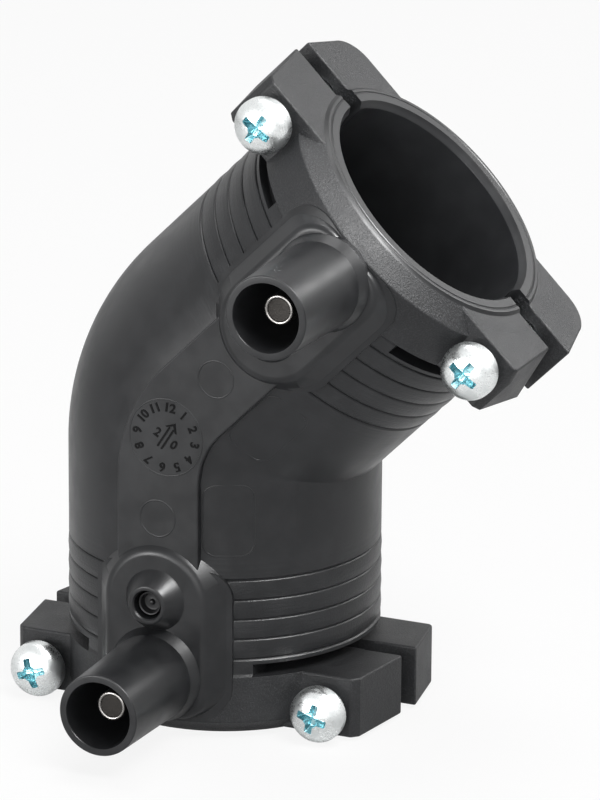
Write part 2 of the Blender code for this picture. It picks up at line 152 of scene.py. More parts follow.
def turned_mesh(profile, steps):
    """Turns a profile of (radius, height) points about the Z axis."""
    made = bmesh.new()
    line = [made.verts.new((radius, 0, height)) for radius, height in profile]
    edges = [made.edges.new(pair) for pair in zip(line, line[1:])]
    bmesh.ops.spin(made, geom=line + edges, cent=(0, 0, 0), axis=(0, 0, 1), angle=math.tau, steps=steps)
    bmesh.ops.remove_doubles(made, verts=made.verts, dist=WELD)
    return made


def bend_on(made, angle, steps):
    """Carries the top face of a turned leg round the bend axis, up to the given angle."""
    top = max(vertex.co.z for vertex in made.verts)
    cap = [face for face in made.faces if face.calc_center_median().z > top - NEAR]
    face = bmesh.ops.dissolve_faces(made, faces=cap)["region"][0]
    hinge = Vector((BEND_RADIUS, 0, top))
    reach = [face, *face.edges, *face.verts]
    bmesh.ops.bisect_plane(made, geom=reach, dist=FINE_WELD, plane_co=hinge, plane_no=(1, 0, 0))
    cap = [face for face in made.faces if face.calc_center_median().z > top - NEAR]
    swept = min(cap, key=lambda face: face.calc_center_median().x)
    moved = [swept, *swept.edges, *swept.verts]
    bmesh.ops.spin(made, geom=moved, cent=hinge, axis=(0, 1, 0), angle=angle, steps=steps)
    bmesh.ops.remove_doubles(made, verts=made.verts, dist=WELD)
    return made


def prism_mesh(outline, low, high):
    """Stands a flat outline up between two heights."""
    made = bmesh.new()
    face = made.faces.new([made.verts.new((x, y, low)) for x, y in outline])
    grown = bmesh.ops.extrude_face_region(made, geom=[face])["geom"]
    top = [vertex for vertex in grown if isinstance(vertex, bmesh.types.BMVert)]
    bmesh.ops.translate(made, vec=(0, 0, high - low), verts=top)
    return made


def block_mesh(low, high):
    """Makes a block between two corners."""
    made = bmesh.new()
    size = Vector(high) - Vector(low)
    middle = (Vector(high) + Vector(low)) / 2
    bmesh.ops.create_cube(made, size=1, matrix=Matrix.LocRotScale(middle, None, size))
    return made


def applied(obj):
    """Takes an object's modifiers off and gives the mesh that they make."""
    graph = bpy.context.evaluated_depsgraph_get()
    graph.update()
    mesh = bpy.data.meshes.new_from_object(obj.evaluated_get(graph))
    obj.modifiers.clear()
    return mesh


def settle(obj):
    """Applies an object's modifiers and welds what they leave."""
    mesh = applied(obj)
    made = bmesh.new()
    made.from_mesh(mesh)
    bmesh.ops.remove_doubles(made, verts=made.verts, dist=FINE_WELD)
    bmesh.ops.dissolve_degenerate(made, edges=made.edges, dist=FINE_WELD)
    made.to_mesh(mesh)
    made.free()
    obj.data = mesh
    return obj


def combine(obj, others, operation):
    """Joins other solids to a piece, or cuts them out of it."""
    for other in others:
        step = obj.modifiers.new(other.name, "BOOLEAN")
        step.operation = operation
        step.solver = "MANIFOLD"
        step.object = other
        settle(obj)
        bpy.data.objects.remove(other)
    return obj


def rounded(obj, width, segments, limit=40):
    """Rounds a plain piece's sharp edges."""
    bevel = obj.modifiers.new("round", "BEVEL")
    bevel.width = width
    bevel.segments = segments
    bevel.limit_method = "ANGLE"
    bevel.angle_limit = math.radians(limit)
    return settle(obj)


def both_legs(obj):
    """Cuts a leg off at the plane that halves the bend and mirrors it there."""
    plane = bpy.data.objects.new("halving_plane", None)
    plane.matrix_world = BISECTOR
    scene.collection.objects.link(plane)
    bpy.context.view_layer.update()
    mirror = obj.modifiers.new("other_leg", "MIRROR")
    mirror.use_axis = (False, False, True)
    mirror.use_bisect_axis = (False, False, True)
    mirror.use_bisect_flip_axis = (False, False, True)
    mirror.bisect_threshold = FINE_WELD
    mirror.mirror_object = plane
    mirror.merge_threshold = NEAR
    settle(obj)
    bpy.data.objects.remove(plane)


def arc(centre, radius, start, end, count):
    """Lists points along an arc, with its angles in degrees."""
    turns = [math.radians(start + (end - start) * i / count) for i in range(count + 1)]
    return [(centre[0] + radius * math.cos(t), centre[1] + radius * math.sin(t)) for t in turns]


def smooth(obj, angle=32):
    """Shades a piece smooth up to its sharp edges, with its flat faces kept flat."""
    obj.data.shade_smooth()
    obj.data.set_sharp_from_angle(angle=math.radians(angle))
    weighted = obj.modifiers.new("flat_faces", "WEIGHTED_NORMAL")
    weighted.keep_sharp = True
    weighted.weight = 60
    obj.data = applied(obj)


band_profile = []
band_top = BAND_START + (BAND_COUNT - 1) * BAND_PITCH
for i in range(BAND_COUNT):
    groove = band_top - i * BAND_PITCH
    for sunk, aside in GROOVE_SHAPE:
        band_profile.append((SOCKET_RADIUS - sunk * GROOVE_DEPTH, groove + aside * GROOVE_WIDTH))
    if i < BAND_COUNT - 1:
        band_profile.append((SOCKET_RADIUS + CROWN, groove - BAND_PITCH / 2))
ring_profile = eased(
    [
        (SOCKET_RADIUS, RING_HEIGHT + RING_JOIN),
        (SOCKET_RADIUS, RING_HEIGHT + RING_FALL),
        (RING_RADIUS, RING_HEIGHT),
        (RING_RADIUS, LIP_HEIGHT + CHAMFER_HEIGHT),
        (RING_RADIUS - CHAMFER_WIDTH, LIP_HEIGHT),
    ],
    RING_EDGE,
)
lip_profile = eased(
    [
        (RING_RADIUS - CHAMFER_WIDTH, LIP_HEIGHT),
        (RING_RADIUS - CHAMFER_WIDTH - LIP_EDGE, 0),
        (LIP_GROOVE_RADIUS + LIP_GROOVE_WIDTH / 2, 0),
        (LIP_GROOVE_RADIUS, LIP_GROOVE_DEPTH),
        (LIP_GROOVE_RADIUS - LIP_GROOVE_WIDTH / 2, 0),
        (0.5 * BORE_RADIUS, 0),
    ],
    LIP_CORNER,
    3,
)
leg_profile = [
    (0, BEND_START),
    (SOCKET_RADIUS, BEND_START),
    *band_profile,
    *ring_profile,
    *lip_profile[1:],
    (0, 0),
]
half_bend = math.degrees(BEND_ANGLE) / 2
leg = bend_on(turned_mesh(leg_profile, BODY_STEPS), math.radians(half_bend + LEG_SPARE), BEND_STEPS)
moulding = piece_from("moulded_elbow", leg, LOWER)


# Terminal pads: a thin curved patch lies on the front of each socket, where the grip bands stop.
# A flat plate with sloping sides stands on it, with a round end round the indicator.
# A flat strip runs from plate to plate round the front of the bend. All are the same moulding.
PATCH_RADIUS = 0.0225
PATCH_HALF_WIDTH = 0.0103
PATCH_LENGTH = 0.0221
PATCH_MOUTH_CORNER = 0.005
PATCH_BEND_CORNER = 0.0042
PAD_FACE = 0.0231
PAD_HALF_WIDTH = 0.0074
PAD_BOTTOM = 0.0027
PAD_LENGTH = 0.0244
PAD_CORNER = 0.0045
PAD_SLOPE = math.radians(38)
PAD_DEPTH = 0.0032
PAD_END_DRAFT = 0.0003
PAD_EDGE = 0.0007
STRIP_FACE = 0.0223
STRIP_HALF_WIDTH = 0.0061
STRIP_EDGE = 0.0003
STRIP_SPARE = 4
TERMINAL_HEIGHT = 0.0092
INDICATOR_HEIGHT = 0.0201
ROOT_DEPTH = 0.00456
ROOT = SOCKET_RADIUS - ROOT_DEPTH
CORNER_STEPS = 16
ROUND_END_STEPS = 64
STRIP_STEPS = 24

patch_top = PAD_BOTTOM + PATCH_LENGTH
mouth_x = PATCH_HALF_WIDTH - PATCH_MOUTH_CORNER
mouth_z = PAD_BOTTOM + PATCH_MOUTH_CORNER
bend_x = PATCH_HALF_WIDTH - PATCH_BEND_CORNER
bend_z = patch_top - PATCH_BEND_CORNER
patch_outline = [
    *arc((mouth_x, mouth_z), PATCH_MOUTH_CORNER, -90, 0, CORNER_STEPS),
    *arc((bend_x, bend_z), PATCH_BEND_CORNER, 0, 90, CORNER_STEPS),
    *arc((-bend_x, bend_z), PATCH_BEND_CORNER, 90, 180, CORNER_STEPS),
    *arc((-mouth_x, mouth_z), PATCH_MOUTH_CORNER, 180, 270, CORNER_STEPS),
]
patch = piece_from("patch", prism_mesh(patch_outline, ROOT, PATCH_RADIUS + OVERRUN), FRONT)
curve_profile = [
    (0, patch_top + OVERRUN),
    (PATCH_RADIUS, patch_top + OVERRUN),
    (PATCH_RADIUS, PAD_BOTTOM - OVERRUN),
    (0, PAD_BOTTOM - OVERRUN),
]
combine(patch, [piece_from("patch_curve", turned_mesh(curve_profile, BODY_STEPS))], "INTERSECT")
patch.data.transform(LOWER)

pad_centre = (0, PAD_BOTTOM + PAD_LENGTH - PAD_HALF_WIDTH)
pad_mesh = bmesh.new()
for depth, draft in ((0, PAD_END_DRAFT), (PAD_DEPTH, 0)):
    half_width = PAD_HALF_WIDTH + depth * math.tan(PAD_SLOPE)
    corner = PAD_CORNER + (half_width - PAD_HALF_WIDTH) / 2
    corner_z = PAD_BOTTOM + draft + corner
    pad_outline = [
        *arc((half_width - corner, corner_z), corner, -90, 0, CORNER_STEPS),
        *arc(pad_centre, half_width, 0, 180, ROUND_END_STEPS),
        *arc((corner - half_width, corner_z), corner, 180, 270, CORNER_STEPS),
    ]
    pad_mesh.faces.new([pad_mesh.verts.new((x, y, PAD_FACE - depth)) for x, y in pad_outline])
bmesh.ops.bridge_loops(pad_mesh, edges=pad_mesh.edges[:])
pad = piece_from("pad", pad_mesh, FRONT)
rounded(pad, PAD_EDGE, 5)
pad.data.transform(LOWER)

hinge = (BEND_RADIUS, BEND_START)
strip_end = 180 - half_bend - STRIP_SPARE
strip_outline = [
    (-STRIP_HALF_WIDTH, INDICATOR_HEIGHT),
    *arc(hinge, BEND_RADIUS + STRIP_HALF_WIDTH, 180, strip_end, STRIP_STEPS),
    *arc(hinge, BEND_RADIUS - STRIP_HALF_WIDTH, strip_end, 180, STRIP_STEPS),
    (STRIP_HALF_WIDTH, INDICATOR_HEIGHT),
]
strip = piece_from("strip", prism_mesh(strip_outline, ROOT, STRIP_FACE), FRONT)
rounded(strip, STRIP_EDGE, 4)
strip.data.transform(LOWER)
combine(moulding, [patch, pad, strip], "UNION")


# Terminal shrouds and indicator bosses: each pad carries a drafted tube round its contact pin.
# A small cone stands above it, round the fusion indicator.
# The wells are cored out of the moulding.
SHROUD_TIP = 0.0412
SHROUD_BORE = 0.00475
SHROUD_WALL = 0.00105
SHROUD_DRAFT = 0.0004
SHROUD_FLARE = 0.0007
SHROUD_FOOT_HEIGHT = 0.0017
SHROUD_FLOOR = 0.0019
SHROUD_EDGE = 0.00022
WELL_FLARE = 0.0006
WELL_MOUTH = 0.001
WELL_EDGE = 0.00012
WELL_ROUND = 0.0001
PIN_RADIUS = 0.0021
PIN_ROOT = 0.0042
INDICATOR_BASE_RADIUS = 0.00425
INDICATOR_TOP_RADIUS = 0.00275
INDICATOR_LENGTH = 0.0027
INDICATOR_HOLE_RADIUS = 0.00203
INDICATOR_DEPTH = 0.0045
BOSS_EDGE = 0.0004
BOSS_FOOT_WIDTH = 0.0003
BOSS_FOOT_HEIGHT = 0.0002
BOSS_FOOT_SINK = 0.0001
HOLE_FLARE = 0.00025
HOLE_EDGE = 0.00018
HOLE_EDGE_DEPTH = 0.00022
SHROUD_STEPS = 96
BOSS_STEPS = 72
HOLE_STEPS = 64

at_terminal = LOWER @ at_front(0, TERMINAL_HEIGHT)
at_indicator = LOWER @ at_front(0, INDICATOR_HEIGHT)

shroud_radius = SHROUD_BORE + SHROUD_WALL
foot = shroud_radius + SHROUD_DRAFT
shroud_profile = [
    (0, SHROUD_TIP),
    *eased(
        [
            (0.5 * SHROUD_BORE, SHROUD_TIP),
            (shroud_radius, SHROUD_TIP),
            (foot, PAD_FACE + SHROUD_FOOT_HEIGHT),
            (foot + SHROUD_FLARE, PAD_FACE),
            (foot + SHROUD_FLARE, ROOT),
        ],
        SHROUD_EDGE,
    ),
    (0, ROOT),
]
shroud = piece_from("shroud", turned_mesh(shroud_profile, SHROUD_STEPS), at_terminal)
indicator_top = PAD_FACE + INDICATOR_LENGTH
boss_profile = [
    (0, indicator_top),
    *eased(
        [
            (0.5 * INDICATOR_TOP_RADIUS, indicator_top),
            (INDICATOR_TOP_RADIUS, indicator_top),
            (INDICATOR_BASE_RADIUS, PAD_FACE + BOSS_FOOT_HEIGHT),
            (INDICATOR_BASE_RADIUS + BOSS_FOOT_WIDTH, PAD_FACE - BOSS_FOOT_SINK),
        ],
        BOSS_EDGE,
    ),
    (INDICATOR_BASE_RADIUS, ROOT),
    (0, ROOT),
]
boss = piece_from("boss", turned_mesh(boss_profile, BOSS_STEPS), at_indicator)
combine(moulding, [shroud, boss], "UNION")

well_floor = PAD_FACE + SHROUD_FLOOR
pin_hole = PIN_RADIUS + CLEARANCE
pin_floor = PAD_FACE - PIN_ROOT
well_profile = [
    (0, SHROUD_TIP + OVERRUN),
    (SHROUD_BORE + WELL_FLARE, SHROUD_TIP + OVERRUN),
    *eased(
        [
            (SHROUD_BORE + WELL_EDGE, SHROUD_TIP + WELL_ROUND),
            (SHROUD_BORE, SHROUD_TIP - WELL_EDGE),
            (SHROUD_BORE, SHROUD_TIP - WELL_MOUTH),
        ],
        WELL_ROUND,
    ),
    (SHROUD_BORE, well_floor),
    (pin_hole, well_floor),
    (pin_hole, pin_floor),
    (0, pin_floor),
]
well = piece_from("well", turned_mesh(well_profile, SHROUD_STEPS), at_terminal)
hole_profile = [
    (0, indicator_top + OVERRUN),
    (INDICATOR_HOLE_RADIUS + HOLE_FLARE, indicator_top + OVERRUN),
    (INDICATOR_HOLE_RADIUS + HOLE_EDGE, indicator_top),
    (INDICATOR_HOLE_RADIUS, indicator_top - HOLE_EDGE_DEPTH),
    (INDICATOR_HOLE_RADIUS, indicator_top - INDICATOR_DEPTH),
    (0, indicator_top - INDICATOR_DEPTH),
]
hole = piece_from("hole", turned_mesh(hole_profile, HOLE_STEPS), at_indicator)
combine(moulding, [well, hole], "DIFFERENCE")
both_legs(moulding)


# Clamp lugs: each ring is split at both sides, with a block in front of every gap and one behind it.
# A screw across the gap draws the two together on the pipe. A slit between the ring and the socket,
# with a thin web left at the bore, lets the ring close by itself.
GAP_WIDTH = 0.0036
GAP_SHIFT = 0.0005
GAP_ROOT = 0.4
LUG_ROOT = 0.6
LUG_BASE = 0.0004
LUG_HALF_WIDTH = 0.0133
LUG_TAPER = 0.0016
LUG_FRONT_CHAMFER = 0.001
LUG_BACK_FILLET = 0.0048
LUG_BACK_SLANT = 8
LUG_CORNER = 0.0008
LUG_CORNER_STEPS = 14
LUG_EDGE = 0.00032
LONG_LUG_EXTRA = 0.0006
LONG_LUG_CUT = 0.0009
END_SLOPE = math.radians(14)
WEDGE_SIZE = 0.01
SCREW_OFFSET = 0.0216
SCREW_HEIGHT = 0.00435
SHANK_RADIUS = 0.002
SHANK_END_WALL = 0.0025
SCREW_HOLE_FLARE = 0.0002
SCREW_HOLE_RISE = 0.0001
SCREW_HOLE_MOUTH = 0.0003
SCREW_HOLE_STEPS = 48
SLIT_HEIGHT = 0.0018
SLIT_END = 0.0126
SLIT_WEB = 0.0012
SHALLOW_WEB = 0.0042

lug_top = RING_HEIGHT + SLIT_HEIGHT / 2
lug_inner = LUG_ROOT * SOCKET_RADIUS
gap_front = GAP_SHIFT - GAP_WIDTH / 2
gap_back = GAP_SHIFT + GAP_WIDTH / 2
hole_end = LUG_HALF_WIDTH - SHANK_END_WALL
far = LUG_REACH + LONG_LUG_EXTRA + OVERRUN
wide = RING_RADIUS + OVERRUN
lugs = (
    ("lower_left", LOWER, -1, 0, 0, LUG_BACK_FILLET, SLIT_WEB),
    ("lower_right", LOWER, 1, LONG_LUG_EXTRA, LONG_LUG_CUT, LUG_CORNER, SLIT_WEB),
    ("upper_left", UPPER, 1, 0, 0, LUG_BACK_FILLET, SHALLOW_WEB),
    ("upper_right", UPPER, -1, 0, 0, LUG_BACK_FILLET, SLIT_WEB),
)
for name, leg_frame, side, extra, cut, fillet, web in lugs:
    low, high = sorted((side * SLIT_END, side * far))
    slit = block_mesh((low, -wide, RING_HEIGHT), (high, wide, RING_HEIGHT + SLIT_HEIGHT))
    low, high = sorted((side * GAP_ROOT * SOCKET_RADIUS, side * far))
    gap = block_mesh((low, gap_front, -OVERRUN), (high, gap_back, lug_top))
    slit = piece_from(name + "_slit", slit)
    web_radius = BORE_RADIUS + web
    web_top = 2 * RING_HEIGHT
    web_mesh = turned_mesh([(0, 0), (web_radius, 0), (web_radius, web_top), (0, web_top)], BODY_STEPS)
    combine(slit, [piece_from(name + "_web", web_mesh)], "DIFFERENCE")
    slit.data.transform(leg_frame)
    combine(moulding, [slit, piece_from(name + "_gap", gap, leg_frame)], "DIFFERENCE")
holes = []
for name, leg_frame, side, extra, cut, fillet, web in lugs:
    reach = LUG_REACH + extra
    back = LUG_HALF_WIDTH - cut
    corner = (reach - LUG_TAPER - fillet, back - fillet)
    front_half = [
        (lug_inner, -LUG_HALF_WIDTH),
        (LUG_REACH - LUG_TAPER - LUG_FRONT_CHAMFER, -LUG_HALF_WIDTH),
        (LUG_REACH - LUG_TAPER, -LUG_HALF_WIDTH + LUG_FRONT_CHAMFER),
        (LUG_REACH, gap_front),
        (lug_inner, gap_front),
    ]
    back_half = [
        (lug_inner, gap_back),
        (reach, gap_back),
        *arc(corner, fillet, LUG_BACK_SLANT, 90, LUG_CORNER_STEPS),
        (lug_inner, back),
    ]
    blocks = []
    for half, outline in (("front", front_half), ("back", back_half)):
        on_side = [(side * x, y) for x, y in outline]
        block = piece_from(name + half, prism_mesh(on_side, LUG_BASE, RING_HEIGHT))
        if half == "front" and name == "upper_right":
            wedge_mesh = block_mesh((-WEDGE_SIZE, -wide, -2 * WEDGE_SIZE), (0, wide, 2 * WEDGE_SIZE))
            wedge = piece_from("wedge", wedge_mesh)
            tilt = Matrix.Rotation(-END_SLOPE, 4, "Y")
            wedge.data.transform(Matrix.Translation((-LUG_REACH, 0, RING_HEIGHT)) @ tilt)
            combine(block, [wedge], "DIFFERENCE")
        rounded(block, LUG_EDGE, 3)
        block.data.transform(leg_frame)
        blocks.append(block)
    combine(moulding, blocks, "UNION")
    hole_profile = [
        (0, LUG_HALF_WIDTH + OVERRUN),
        (SHANK_RADIUS + CLEARANCE + SCREW_HOLE_FLARE, LUG_HALF_WIDTH + SCREW_HOLE_RISE),
        (SHANK_RADIUS + CLEARANCE, LUG_HALF_WIDTH - SCREW_HOLE_MOUTH),
        (SHANK_RADIUS + CLEARANCE, -hole_end),
        (0, -hole_end),
    ]
    place = leg_frame @ at_front(side * SCREW_OFFSET, SCREW_HEIGHT)
    holes.append(piece_from(name + "_hole", turned_mesh(hole_profile, SCREW_HOLE_STEPS), place))


# Bores: each socket takes its pipe up to a stop, and a narrower waterway goes round the bend.
# They are cored out of the moulding, with a small lead-in at the mouth.
PIPE_STOP = 0.00325
STOP_LAND = 0.0017
STOP_START = 0.0004
STOP_EDGE = 0.0003
LEAD_IN = 0.001
LEAD_IN_WIDTH = 0.0005
LEAD_IN_FOOT = 0.0002
MOUTH_FLARE = 0.0009
MOUTH_RISE = 0.0003
MOUTH_EDGE = 0.0004
BORE_SPARE = 4

bore_depth = BEND_START - STOP_LAND
waterway_radius = BORE_RADIUS - PIPE_STOP
bore_profile = [
    (0, BEND_START),
    (waterway_radius, BEND_START),
    *eased(
        [
            (waterway_radius, BEND_START - STOP_START),
            (waterway_radius, bore_depth),
            (BORE_RADIUS, bore_depth),
        ],
        STOP_EDGE,
    ),
    *eased(
        [
            (BORE_RADIUS, 2 * LEAD_IN),
            (BORE_RADIUS, LEAD_IN),
            (BORE_RADIUS + LEAD_IN_WIDTH, LEAD_IN_FOOT),
            (BORE_RADIUS + MOUTH_FLARE, -MOUTH_RISE),
        ],
        MOUTH_EDGE,
    ),
    (BORE_RADIUS + MOUTH_FLARE, -OVERRUN),
    (0, -OVERRUN),
]
bore_mesh = turned_mesh(bore_profile, BODY_STEPS)
bore = piece_from("bore", bend_on(bore_mesh, math.radians(half_bend + BORE_SPARE), BEND_STEPS), LOWER)
both_legs(bore)
combine(moulding, [bore, *holes], "DIFFERENCE")
smooth(moulding)


# The moulding's finish: satin black, smooth on the sockets, pads and bores.
# The clamp rings and lugs are spark-grained in the mould, and the lips are polished.
# Fine turned lines show round the sockets. The pattern follows the distance from the nearer mouth.
GRAIN_SIZE = 0.00034
PIT_FINENESS = 1.2
SPECK_FINENESS = 1.6
MOTTLE_SCALE = 260.0
CLOUD_SCALE = 45.0
LINE_PITCH = 0.00048
LINE_RELIEF = 0.3
LINES_START = 0.034
LINES_FULL = 0.022
BAND_RELIEF = 0.25
SKIN_RELIEF = 0.03
GRAIN_RELIEF = 0.4
MOTTLE_BLOOM = 0.14
CLOUD_BLOOM = 0.12
RING_BLOOM = 0.3
# Painted highlight: the grain speckle on the mouth chamfers is made much lighter, for the key light that
# falls on them.
CHAMFER_HIGHLIGHT_BLOOM = 0.6
# Painted reflected light: the bores are made lighter, for the light they take from their own lit walls.
BORE_PAINTED_LIGHT = 0.35
SATIN = (0.32, 0.4)
RING_ROUGHER = 0.14
POLISHED_LIP = 0.001
SKIN_DEPTH = 0.001
PATCH_SIDE = (-0.6 * SOCKET_RADIUS, -0.5 * SOCKET_RADIUS)
MASK_EDGE = 0.0001
PLASTIC_SPECULAR = 0.75
PLASTIC_IOR = 1.28


def new_group(name, inputs, outputs):
    """Makes an empty shader node group with the named sockets."""
    tree = bpy.data.node_groups.new(name, "ShaderNodeTree")
    for label, kind, value in inputs:
        socket = tree.interface.new_socket(label, in_out="INPUT", socket_type=kind)
        if value is not None:
            socket.default_value = value
    for label, kind in outputs:
        tree.interface.new_socket(label, in_out="OUTPUT", socket_type=kind)
    return tree, tree.nodes.new("NodeGroupInput"), tree.nodes.new("NodeGroupOutput")


def add_node(tree, kind, links=(), **settings):
    """Adds a node. Links give each input by its name or number, from a socket or a plain value."""
    made = tree.nodes.new(kind)
    for label, value in settings.items():
        setattr(made, label, value)
    for label, value in dict(links).items():
        if isinstance(value, bpy.types.NodeSocket):
            tree.links.new(value, made.inputs[label])
        else:
            made.inputs[label].default_value = value
    return made


def maths(tree, operation, *values, clamp=False):
    """Adds a Math node and gives its result."""
    made = add_node(tree, "ShaderNodeMath", dict(enumerate(values)), operation=operation, use_clamp=clamp)
    return made.outputs[0]


def times(tree, *values):
    """Multiplies values together."""
    total = values[0]
    for value in values[1:]:
        total = maths(tree, "MULTIPLY", total, value)
    return total


def plus(tree, *values):
    """Adds values up."""
    total = values[0]
    for value in values[1:]:
        total = maths(tree, "ADD", total, value)
    return total


def vectors(tree, operation, first, second, output):
    """Adds a Vector Math node and gives one of its results."""
    made = add_node(tree, "ShaderNodeVectorMath", {0: first, 1: tuple(second)}, operation=operation)
    return made.outputs[output]


def distance(tree, first, second):
    """Gives the length of the slope over two sides."""
    squares = [maths(tree, "POWER", side, 2.0) for side in (first, second)]
    return maths(tree, "SQRT", plus(tree, *squares))


def between(tree, value, start, end, low=0.0, high=1.0):
    """Gives a smooth step of a value from low at start to high at end."""
    links = {"Value": value, "From Min": start, "From Max": end, "To Min": low, "To Max": high}
    return add_node(tree, "ShaderNodeMapRange", links, interpolation_type="SMOOTHSTEP").outputs["Result"]


def noise(tree, place, scale, detail=2.0, roughness=0.5):
    """Adds a noise texture and gives its value."""
    links = {"Vector": place, "Scale": scale, "Detail": detail, "Roughness": roughness}
    return add_node(tree, "ShaderNodeTexNoise", links).outputs["Fac"]


def blended(tree, factor, first, second):
    """Mixes two colours."""
    links = {"Factor": factor, 6: first, 7: second}
    return add_node(tree, "ShaderNodeMix", links, data_type="RGBA").outputs[2]


moulded, given, result = new_group(
    "moulded_polyethylene",
    [
        ("Base", "NodeSocketColor", (0.03, 0.03, 0.032, 1)),
        ("Bloom", "NodeSocketColor", (0.06, 0.06, 0.062, 1)),
        ("Grain", "NodeSocketFloat", 1.0),
    ],
    [("Color", "NodeSocketColor"), ("Roughness", "NodeSocketFloat"), ("Height", "NodeSocketFloat")],
)
place = add_node(moulded, "ShaderNodeTexCoord").outputs["Object"]
split = add_node(moulded, "ShaderNodeSeparateXYZ", {0: place})
from_lower = maths(moulded, "SUBTRACT", split.outputs["Z"], origin.z)
offset = vectors(moulded, "SUBTRACT", place, crossing, "Vector")
along = vectors(moulded, "DOT_PRODUCT", offset, leg_axis, "Value")
from_upper = maths(moulded, "SUBTRACT", LEG_LENGTH, along)
from_mouth = maths(moulded, "MINIMUM", from_lower, from_upper)

inner_axis = (math.cos(BEND_ANGLE), 0, -math.sin(BEND_ANGLE))
across_upper = vectors(moulded, "DOT_PRODUCT", offset, inner_axis, "Value")
across_lower = maths(moulded, "SUBTRACT", split.outputs["X"], origin.x)
on_lower = maths(moulded, "LESS_THAN", from_lower, from_upper)
across = times(moulded, on_lower, maths(moulded, "SUBTRACT", across_lower, across_upper))
across = maths(moulded, "ABSOLUTE", plus(moulded, across_upper, across))
to_back = maths(moulded, "SUBTRACT", split.outputs["Y"], origin.y)
radius = distance(moulded, across, to_back)

corner_x = maths(moulded, "MAXIMUM", maths(moulded, "SUBTRACT", across, mouth_x), 0.0)
corner_z = maths(moulded, "MAXIMUM", maths(moulded, "SUBTRACT", mouth_z, from_mouth), 0.0)
patch_edge = (PATCH_MOUTH_CORNER - MASK_EDGE / 2, PATCH_MOUTH_CORNER + MASK_EDGE / 2)
off_patch = between(moulded, distance(moulded, corner_x, corner_z), *patch_edge)
off_patch = maths(moulded, "MAXIMUM", off_patch, between(moulded, to_back, *PATCH_SIDE))
off_shroud = between(moulded, to_back, -PAD_FACE - MASK_EDGE, -PAD_FACE + MASK_EDGE)
lip_end = BORE_RADIUS + POLISHED_LIP
on_ring = times(
    moulded,
    between(moulded, from_mouth, RING_HEIGHT + 3 * MASK_EDGE, RING_HEIGHT - MASK_EDGE),
    between(moulded, from_mouth, LIP_HEIGHT, LIP_HEIGHT + 2 * MASK_EDGE),
    between(moulded, radius, lip_end, lip_end + 4 * MASK_EDGE),
    off_patch,
    off_shroud,
    given.outputs["Grain"],
)
chamfer_end = LIP_HEIGHT + CHAMFER_HEIGHT
on_chamfer = times(
    moulded,
    between(moulded, from_mouth, chamfer_end + 1.5 * MASK_EDGE, chamfer_end - 0.5 * MASK_EDGE),
    between(moulded, radius, RING_RADIUS + 2 * MASK_EDGE, RING_RADIUS),
)
on_skin = times(
    moulded,
    between(moulded, radius, SOCKET_RADIUS + 1.5 * MASK_EDGE, SOCKET_RADIUS + MASK_EDGE),
    between(moulded, radius, SOCKET_RADIUS - SKIN_DEPTH, SOCKET_RADIUS - SKIN_DEPTH / 2),
)
on_bands = between(moulded, from_mouth, band_top + 5 * MASK_EDGE, band_top - 3 * MASK_EDGE)
on_bands = times(moulded, on_bands, on_skin)
near_bands = between(moulded, from_mouth, LINES_START, LINES_FULL)
in_bore = between(moulded, radius, BORE_RADIUS + 6 * MASK_EDGE, BORE_RADIUS + 2 * MASK_EDGE)

pits = between(moulded, noise(moulded, place, PIT_FINENESS / GRAIN_SIZE, 2.0, 0.6), 0.36, 0.64)
speckle = between(moulded, noise(moulded, place, SPECK_FINENESS / GRAIN_SIZE, 2.0, 0.6), 0.5, 0.66)
mottle = noise(moulded, place, MOTTLE_SCALE, 4.0, 0.55)
cloud = noise(moulded, place, CLOUD_SCALE)
line_place = maths(moulded, "DIVIDE", from_mouth, LINE_PITCH)
lines = add_node(
    moulded,
    "ShaderNodeTexNoise",
    {"W": line_place, "Scale": 1.0, "Detail": 2.0, "Roughness": 0.6},
    noise_dimensions="1D",
).outputs["Fac"]
broken = between(moulded, mottle, 0.4, 0.6, 0.25, 1.0)
lines = times(moulded, between(moulded, lines, 0.35, 0.65), near_bands, broken, on_skin)

# The ring's grain speckle is lighter in its own colour, and lighter still on the mouth chamfer as a
# painted highlight.
ring_grain_and_chamfer_highlight = plus(moulded, RING_BLOOM, times(moulded, on_chamfer, CHAMFER_HIGHLIGHT_BLOOM))
# Mottle and cloud vary the tone at random; the bores' lighter colour is painted reflected light.
tint = plus(
    moulded,
    times(moulded, between(moulded, mottle, 0.35, 0.75), MOTTLE_BLOOM),
    times(moulded, between(moulded, cloud, 0.35, 0.7), CLOUD_BLOOM),
    times(moulded, in_bore, BORE_PAINTED_LIGHT),
)
tint = maths(moulded, "ADD", tint, times(moulded, on_ring, speckle, ring_grain_and_chamfer_highlight), clamp=True)
colour = blended(moulded, tint, given.outputs["Base"], given.outputs["Bloom"])
moulded.links.new(colour, result.inputs["Color"])
satin = plus(moulded, between(moulded, mottle, 0.3, 0.7, *SATIN), times(moulded, on_ring, RING_ROUGHER))
moulded.links.new(satin, result.inputs["Roughness"])
skin_relief = plus(moulded, times(moulded, on_bands, BAND_RELIEF), SKIN_RELIEF)
ring_relief = plus(moulded, times(moulded, pits, GRAIN_RELIEF), times(moulded, speckle, GRAIN_RELIEF))
relief = plus(
    moulded,
    times(moulded, pits, skin_relief),
    times(moulded, lines, LINE_RELIEF),
    times(moulded, on_ring, ring_relief),
)
moulded.links.new(relief, result.inputs["Height"])


